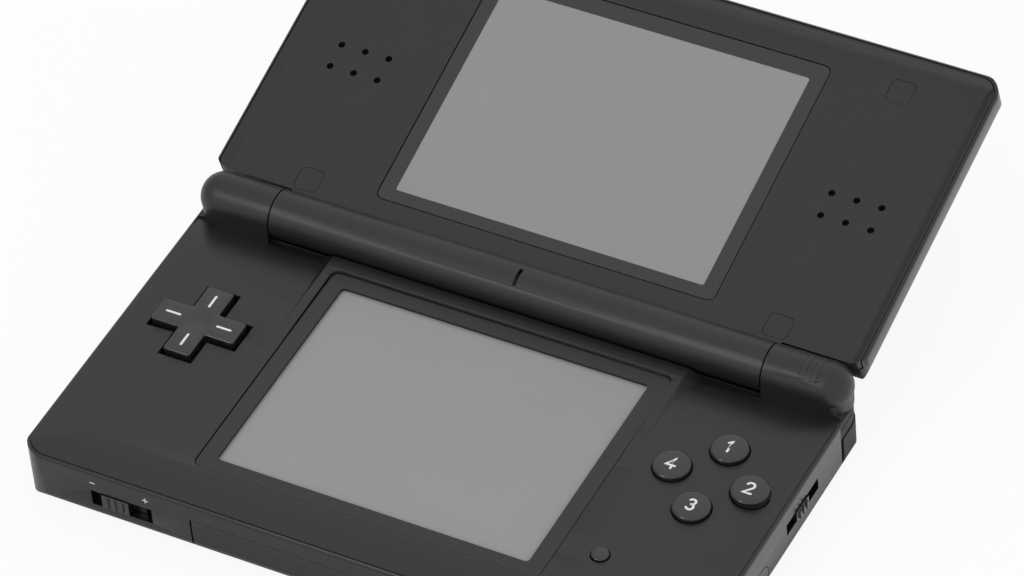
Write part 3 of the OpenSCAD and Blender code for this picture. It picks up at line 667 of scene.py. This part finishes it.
class CONSOLE_OT_screens(Builder, bpy.types.Operator):
    """Makes the bezels, the touch screen and the upper lens with its display"""
    bl_idname = "console.screens"
    bl_label = "Screens"

    # Upper lens and its window in the lid's own frame: x from, x to, y from, y to
    lens = (-34.58, 34.58, 8.92, 61.98)
    window = (-31.6, 31.6, 11.5, 58.6)
    lens_corner, window_corner = 1.4, 0.5
    lens_low, lens_top, lens_chamfer = -0.4, 0.4, 0.08
    pane_low, pane_top = -0.38, 0.33
    ground_edge = 0.12
    smallest_corner = 0.05
    upper_tone = 0.93

    def build(self, sizes, colours):
        bezel = bezel_plastic(colours)
        dressed("touch_frame", "touch_bezel", "base", bezel, sizes.fine_edge,
                shape=closer_frame)
        touch = display_glass("touch_display", colours.display, 0.32)
        self.touch_pane(touch)
        coat_node("lower_display", touch)
        seen_through_lens = tuple(c * self.upper_tone for c in colours.display)
        upper = display_glass("upper_display", seen_through_lens, 0.3)
        self.lens_frame(clear_lens(colours))
        self.upper_pane(upper)
        coat_node("upper_display", upper)

    def touch_pane(self, finish):
        """Touch glass whose top edges are ground back."""
        low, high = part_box("touch_glass")
        grind = self.ground_edge * MM
        rings = []
        for inset, z in ((0, low[2]), (0, high[2] - grind), (grind, high[2])):
            x0, x1, y0, y1 = low[0] + inset, high[0] - inset, low[1] + inset, high[1] - inset
            rings.append([Vector((x, y, z)) for x, y in ((x0, y0), (x1, y0), (x1, y1), (x0, y1))])
        add_object("touch_pane", ring_stack("touch_pane", rings), "base", finish,
                   ("touch_glass",))

    def upper_pane(self, finish):
        """Display that shows through the window of the lens, just below its face."""
        x0, x1, y0, y1 = self.window
        corners = ((x0, y0), (x1, y0), (x1, y1), (x0, y1))
        rings = [[in_lid(x, y, z) * MM for x, y in corners]
                 for z in (self.pane_low, self.pane_top)]
        add_object("upper_pane", ring_stack("upper_pane", rings), "lid", finish)

    def lens_frame(self, finish):
        """Upper lens as a frame with rounded corners and chamfered edges."""
        b = self.lens_chamfer
        outer, inner = (self.lens, self.lens_corner), (self.window, self.window_corner)
        sections = [(outer, 0, self.lens_low), (outer, 0, self.lens_top - b),
                    (outer, -b, self.lens_top), (inner, b / 2, self.lens_top),
                    (inner, 0, self.lens_top - b / 2), (inner, 0, self.lens_low)]
        bm = bmesh.new()
        loops = []
        for ((x0, x1, y0, y1), radius), grown, z in sections:
            box = (x0 - grown, x1 + grown, y0 - grown, y1 + grown)
            outline = rounded_box(box, max(radius + grown, self.smallest_corner))
            loops.append([bm.verts.new(in_lid(x, y, z) * MM) for x, y in outline])
        for low, high in zip(loops, loops[1:] + loops[:1]):
            join_rings(bm, low, high)
        add_object("upper_lens_frame", mesh_from("upper_lens_frame", bm), "lid", finish,
                   ("upper_lens",))


class CONSOLE_OT_direction_pad(Builder, bpy.types.Operator):
    """Makes the direction pad with its dished crossing and printed dashes"""
    bl_idname = "console.direction_pad"
    bl_label = "Direction pad"

    centre = Vector((-50.7, 2.3, 0))
    span, arm, top, foot = 17.2, 5.5, 14.3, 10.8
    tip, corner = 0.55, 0.45
    tip_shrink = 0.9
    dish, dish_middle, dish_depth = 2.3, 0.25, 0.22
    dish_rings = 8
    dash_from, dash_to, dash_width = 3.9, 6.6, 0.46
    # Radius and height round the flange that keeps the pad under its opening
    flange_profile = [(1.4, 10.25), (8.9, 10.25), (9.15, 10.4), (9.15, 10.8), (9.0, 10.95),
                      (1.4, 10.95)]

    def build(self, sizes, colours):
        plastic = control_plastic(colours)
        edge = sizes.pad_edge / MM
        walls = [(0, self.foot), (0, self.top - edge)]
        walls += [(edge - x, self.top - edge + z) for x, z in arc(0, 0, edge, 0, 90, 4)][1:]
        stack = [self.ring([(x, y, z) for x, y in self.outline(inset)]) for inset, z in walls]
        stack += [self.dish_ring(self.outline(edge), step)
                  for step in range(1, self.dish_rings + 1)]
        add_object("direction_pad_cross", ring_stack("direction_pad_cross", stack),
                   "direction_pad", plastic, ("direction_pad",), smooth=35)
        add_object("direction_pad_flange",
                   turned("direction_pad_flange", self.flange_profile, self.centre),
                   "direction_pad", plastic)
        self.dashes(sizes, colours)

    def outline(self, inset):
        """Outline of the cross, drawn in by inset."""
        return cross_outline(self.span - 2 * inset, self.arm - 2 * inset,
                             self.tip - inset * self.tip_shrink, self.corner + inset)

    def ring(self, points):
        return [(Vector(point) + self.centre) * MM for point in points]

    def dish_ring(self, outline, step):
        """Ring of the dished crossing; the first one lies on its rim."""
        t = step / self.dish_rings
        reach = self.dish if step == 1 else self.dish * (1 - t) + self.dish_middle * t
        points = []
        for x, y in outline:
            a = math.atan2(y, x)
            cx, cy = reach * math.cos(a), reach * math.sin(a)
            dip = self.dish_depth * (1 - min(1, math.hypot(cx, cy) / self.dish) ** 2)
            points.append((cx, cy, self.top - dip))
        return self.ring(points)

    def dashes(self, sizes, colours):
        """Printed dash along each arm."""
        strokes = []
        for turn in range(4):
            c, s = math.cos(math.pi / 2 * turn), math.sin(math.pi / 2 * turn)
            strokes.append([(reach * c, reach * s) for reach in (self.dash_from, self.dash_to)])

        def put(x, y, h):
            return Vector((x, y, self.top + INK_LIFT + h)) + self.centre
        printed_marks("pad_dashes", strokes, self.dash_width, put, sizes.ink, "direction_pad",
                      printed_ink(colours))


class CONSOLE_OT_buttons(Builder, bpy.types.Operator):
    """Turns the round buttons and prints a numeral on each face button"""
    bl_idname = "console.buttons"
    bl_label = "Round buttons"

    faces = {"button_rear": (51.9, 12.25), "button_right": (59.55, 4.6),
             "button_front": (51.9, -3.05), "button_left": (44.25, 4.6)}
    small = {"start_button": (42.2, -19.4), "select_button": (42.2, -27.1)}
    # Radius, height of the top, and radius of the hidden flange
    face_radius, face_top, face_flange = 3.55, PANEL_Z + 1.15, 4.05
    small_radius, small_top, small_flange = 1.65, PANEL_Z + 0.6, 2.45
    face_dome = 0.12
    small_edge, small_dome = 0.3, 0.1
    foot, flange_low, flange_high, flange_chamfer = 10.45, 10.9, 11.65, 0.1
    foot_share = 0.44
    middle = 0.02
    edge_turn, edge_steps = 82, 7
    dome_rings, dome_middle = 8, 0.03
    # Strokes of the numerals, in a field from -1 to 1
    numerals = {
        "button_rear": [[(-0.4, 0.62), (0.06, 1.0), (0.06, -1.0)]],
        "button_right": [arc(0, 0.42, 0.58, 160, -38, 12) + [(-0.58, -1.0), (0.62, -1.0)]],
        "button_front": [arc(-0.02, 0.5, 0.49, 150, -90, 14),
                         arc(-0.02, -0.48, 0.53, 90, -150, 14)],
        "button_left": [[(0.26, -1.0), (0.26, 1.0), (-0.68, -0.42), (0.68, -0.42)]],
    }

    def build(self, sizes, colours):
        plastic = control_plastic(colours)
        ink = printed_ink(colours)
        edge = sizes.button_edge / MM
        for node, centre in self.faces.items():
            self.button(node, centre, self.face_radius, self.face_top, self.face_flange, edge,
                        self.face_dome, plastic)
            self.numeral(node, centre, self.face_radius - edge, sizes, ink)
        for node, centre in self.small.items():
            self.button(node, centre, self.small_radius, self.small_top, self.small_flange,
                        self.small_edge, self.small_dome, plastic)

    def button(self, node, centre, radius, top, flange, edge, dome, plastic):
        """Button with a lightly domed top, a rounded edge and its hidden flange."""
        flat = radius - edge
        low, high, chamfer = self.flange_low, self.flange_high, self.flange_chamfer
        profile = [(self.middle, self.foot), (radius * self.foot_share, self.foot),
                   (radius * self.foot_share, low), (flange - chamfer, low),
                   (flange, low + chamfer), (flange, high - chamfer),
                   (flange - chamfer, high), (radius, high)]
        profile += arc(flat, top - dome - edge, edge, 0, self.edge_turn, self.edge_steps)
        for step in range(1, self.dome_rings + 1):
            r = flat * (1 - step / self.dome_rings) + self.dome_middle
            profile.append((r, top - dome + dome * (1 - (r / flat) ** 2)))
        add_object(node + "_cap", turned(node + "_cap", profile, centre), node,
                   plastic, (node,), smooth=40)

    def numeral(self, node, centre, flat, sizes, ink):
        """Numeral that follows the dome of its button."""
        def put(x, y, h):
            dome = self.face_dome * (1 - min(1, math.hypot(x, y) / flat) ** 2)
            height = self.face_top - self.face_dome + dome + INK_LIFT + h
            return Vector((centre[0] + x, centre[1] + y, height))
        scale = sizes.numeral / MM / 2
        strokes = [[(u * scale, v * scale) for u, v in stroke] for stroke in self.numerals[node]]
        printed_marks(node + "_numeral", strokes, sizes.stroke / MM, put, sizes.ink, node, ink)


class CONSOLE_OT_sliders(Builder, bpy.types.Operator):
    """Dresses the sliding switches and the stylus, and prints the plain signs beside them"""
    bl_idname = "console.sliders"
    bl_label = "Sliders and stylus"

    # Strokes of a minus and a plus on the front wall, by x and height
    signs = [[(-51.6, 9.1), (-50.7, 9.1)], [(-40.7, 9.1), (-39.7, 9.1)],
             [(-40.2, 8.6), (-40.2, 9.6)]]
    sign_width = 0.2

    def build(self, sizes, colours):
        plastic = control_plastic(colours)
        ink = printed_ink(colours)
        for node, name in (("volume_slider", "volume_knob"), ("power_slider", "power_knob"),
                           ("stylus", "stylus_body")):
            dressed(name, node, node, plastic, sizes.fine_edge)

        def on_front(x, z, h):
            return Vector((x, FRONT_WALL - INK_LIFT - h, z))
        printed_marks("volume_signs", self.signs, self.sign_width, on_front, sizes.ink, "base",
                      ink)


class CONSOLE_OT_insides(Builder, bpy.types.Operator):
    """Finishes the solids that stay as they are: boards, sockets, screws and what lies inside"""
    bl_idname = "console.insides"
    bl_label = "Carried-over parts"

    def build(self, sizes, colours):
        given = {
            "silicone": ("pad_membrane", "button_membrane"),
            "steel": ("card_cage", "shoulder_switches", "shoulder_pins", "hinge_clutch",
                      "hinge_bush", "microphone", "pad_pivot"),
            "black_steel": ("battery_screw", "case_screws", "lid_screws"),
            "socket": ("front_slot_connector", "charging_socket", "headphone_socket",
                       "volume_switch", "power_switch", "left_speaker", "right_speaker"),
            "board": ("main_board", "wireless_board"),
            "cell": ("battery",),
            "rubber": ("rubber_feet",),
            "window": ("light_pipes",),
            "cable": ("lid_cable",),
        }
        finishes = {
            "silicone": silicone(), "steel": drawn_steel(),
            "black_steel": drawn_steel("blackened_steel", (0.13, 0.13, 0.135), 0.4),
            "socket": socket_plastic(), "board": circuit_board(), "cell": cell_wrap(),
            "rubber": rubber(), "window": frosted_window(), "cable": cable_film(),
        }
        for key, names in given.items():
            for name in names:
                coat_node(name, finishes[key])


class CONSOLE_OT_stage(Builder, bpy.types.Operator):
    """Sets the floor, the soft light, the white surroundings and the camera"""
    bl_idname = "console.stage"
    bl_label = "Stage"

    # All the lengths of the stage are in metres
    ground_reach = 3.0
    ground_glow = 0.9
    # Painted reflection: only on the right of the console, between these places along X, the
    # floor glows white in reflections, which lightens the right wall
    glow_from, glow_full = 0.0665, 0.07
    room_level, left_level = 0.95, 0.62
    # X of a direction into the room, where it starts and ends to dim
    left_from, left_full = -0.42, -0.72
    lamp_place, lamp_target = Vector((-0.485, -0.83, 0.88)), Vector((0, 0.02, 0.01))
    lamp_size, lamp_watts = 0.32, 2.0
    camera_place = (0.44407, -0.69363, 0.85001)
    camera_turn = (45.3899, 4.1214, 27.4904)

    def build(self, sizes, colours):
        self.floor(colours)
        self.surroundings()
        self.lamp()
        self.camera()

    def floor(self, colours):
        """Pale ground that keeps the console's shadow and shows nearly white around it; a strip
        by its right wall glows white only in reflections, a painted reflection on that wall.
        """
        finish = Finish("pale_floor")
        tone = 0.985 + finish.noise(60, 2) * 0.03
        pale = finish.node("BsdfPrincipled", Base_Color=finish.shade(colours.floor, tone),
                           Roughness=0.85, Specular_IOR_Level=0.1)
        white = finish.node("Emission", Color=WHITE, Strength=1.0)
        mirrored = finish.value(finish.node("LightPath"), "Is Glossy Ray")
        # Painted reflection: a white glow seen only in reflections, in the strip beside the right
        # wall
        right = finish.band(finish.axis("X"), self.glow_from, self.glow_full)
        glow = finish.seen_directly() * self.ground_glow + mirrored * right * self.ground_glow
        finish.ends_with(finish.blend(glow, pale, white))
        bm = bmesh.new()
        bmesh.ops.create_grid(bm, x_segments=8, y_segments=8, size=self.ground_reach)
        mesh = bpy.data.meshes.new("ground")
        bm.to_mesh(mesh)
        bm.free()
        mesh.materials.append(finish.material)
        ground = bpy.data.objects.new("ground", mesh)
        bpy.context.collection.objects.link(ground)

    def surroundings(self):
        """White room that is dimmer on the left, and plain white behind the console."""
        world = bpy.data.worlds.new("white_room")
        bpy.context.scene.world = world
        world.use_nodes = True
        room = Nodes(world.node_tree, "OutputWorld")
        bright = room.node("Background", Color=WHITE, Strength=self.room_level)
        dim = room.node("Background", Color=WHITE, Strength=self.left_level)
        white = room.node("Background", Color=WHITE, Strength=1.0)
        direction = room.node("SeparateXYZ", Vector=room.node("TexCoord").outputs["Generated"])
        leftward = room.node("MapRange", {"interpolation_type": "SMOOTHSTEP"},
                             Value=direction.outputs["X"],
                             From_Min=self.left_from, From_Max=self.left_full)
        light = room.blend(room.value(leftward), bright, dim)
        room.ends_with(room.blend(room.seen_directly(), light, white))

    def lamp(self):
        """Soft light from the front left."""
        light = bpy.data.lights.new("front_softbox", "AREA")
        light.shape = "SQUARE"
        light.size = self.lamp_size
        light.energy = self.lamp_watts
        lamp = bpy.data.objects.new("front_softbox", light)
        lamp.location = self.lamp_place
        aim = self.lamp_target - self.lamp_place
        lamp.rotation_euler = aim.to_track_quat("-Z", "Y").to_euler()
        bpy.context.collection.objects.link(lamp)

    def camera(self):
        """Camera at the product view, and the plain view transform."""
        data = bpy.data.cameras.new("camera")
        data.sensor_width = 36
        data.lens = 231.05
        data.shift_x = -0.0022
        data.shift_y = 0.0022
        data.clip_end = 20
        camera = bpy.data.objects.new("camera", data)
        camera.location = self.camera_place
        camera.rotation_euler = [math.radians(a) for a in self.camera_turn]
        bpy.context.collection.objects.link(camera)
        bpy.context.scene.camera = camera
        bpy.context.scene.view_settings.view_transform = "Standard"


STEPS = (CONSOLE_OT_stage, CONSOLE_OT_shells, CONSOLE_OT_screens, CONSOLE_OT_direction_pad,
         CONSOLE_OT_buttons, CONSOLE_OT_sliders, CONSOLE_OT_insides)


class CONSOLE_PT_panel(bpy.types.Panel):
    """Lists the console's pieces, sizes and colours"""
    bl_label = "Console"
    bl_space_type = "VIEW_3D"
    bl_region_type = "UI"
    bl_category = "Console"

    def draw(self, context):
        layout = self.layout
        for step in STEPS:
            layout.operator(step.bl_idname)
        for group in (context.scene.console_sizes, context.scene.console_colours):
            for name in group.__annotations__:
                layout.prop(group, name)


CLASSES = (ConsoleSizes, ConsoleColours) + STEPS + (CONSOLE_PT_panel,)


def register():
    for cls in CLASSES:
        bpy.utils.register_class(cls)
    bpy.types.Scene.console_sizes = PointerProperty(type=ConsoleSizes)
    bpy.types.Scene.console_colours = PointerProperty(type=ConsoleColours)


def unregister():
    del bpy.types.Scene.console_colours
    del bpy.types.Scene.console_sizes
    for cls in reversed(CLASSES):
        bpy.utils.unregister_class(cls)


def main():
    register()
    for step in STEPS:
        group, call = step.bl_idname.split(".")
        getattr(getattr(bpy.ops, group), call)()


if __name__ == "__main__":
    main()
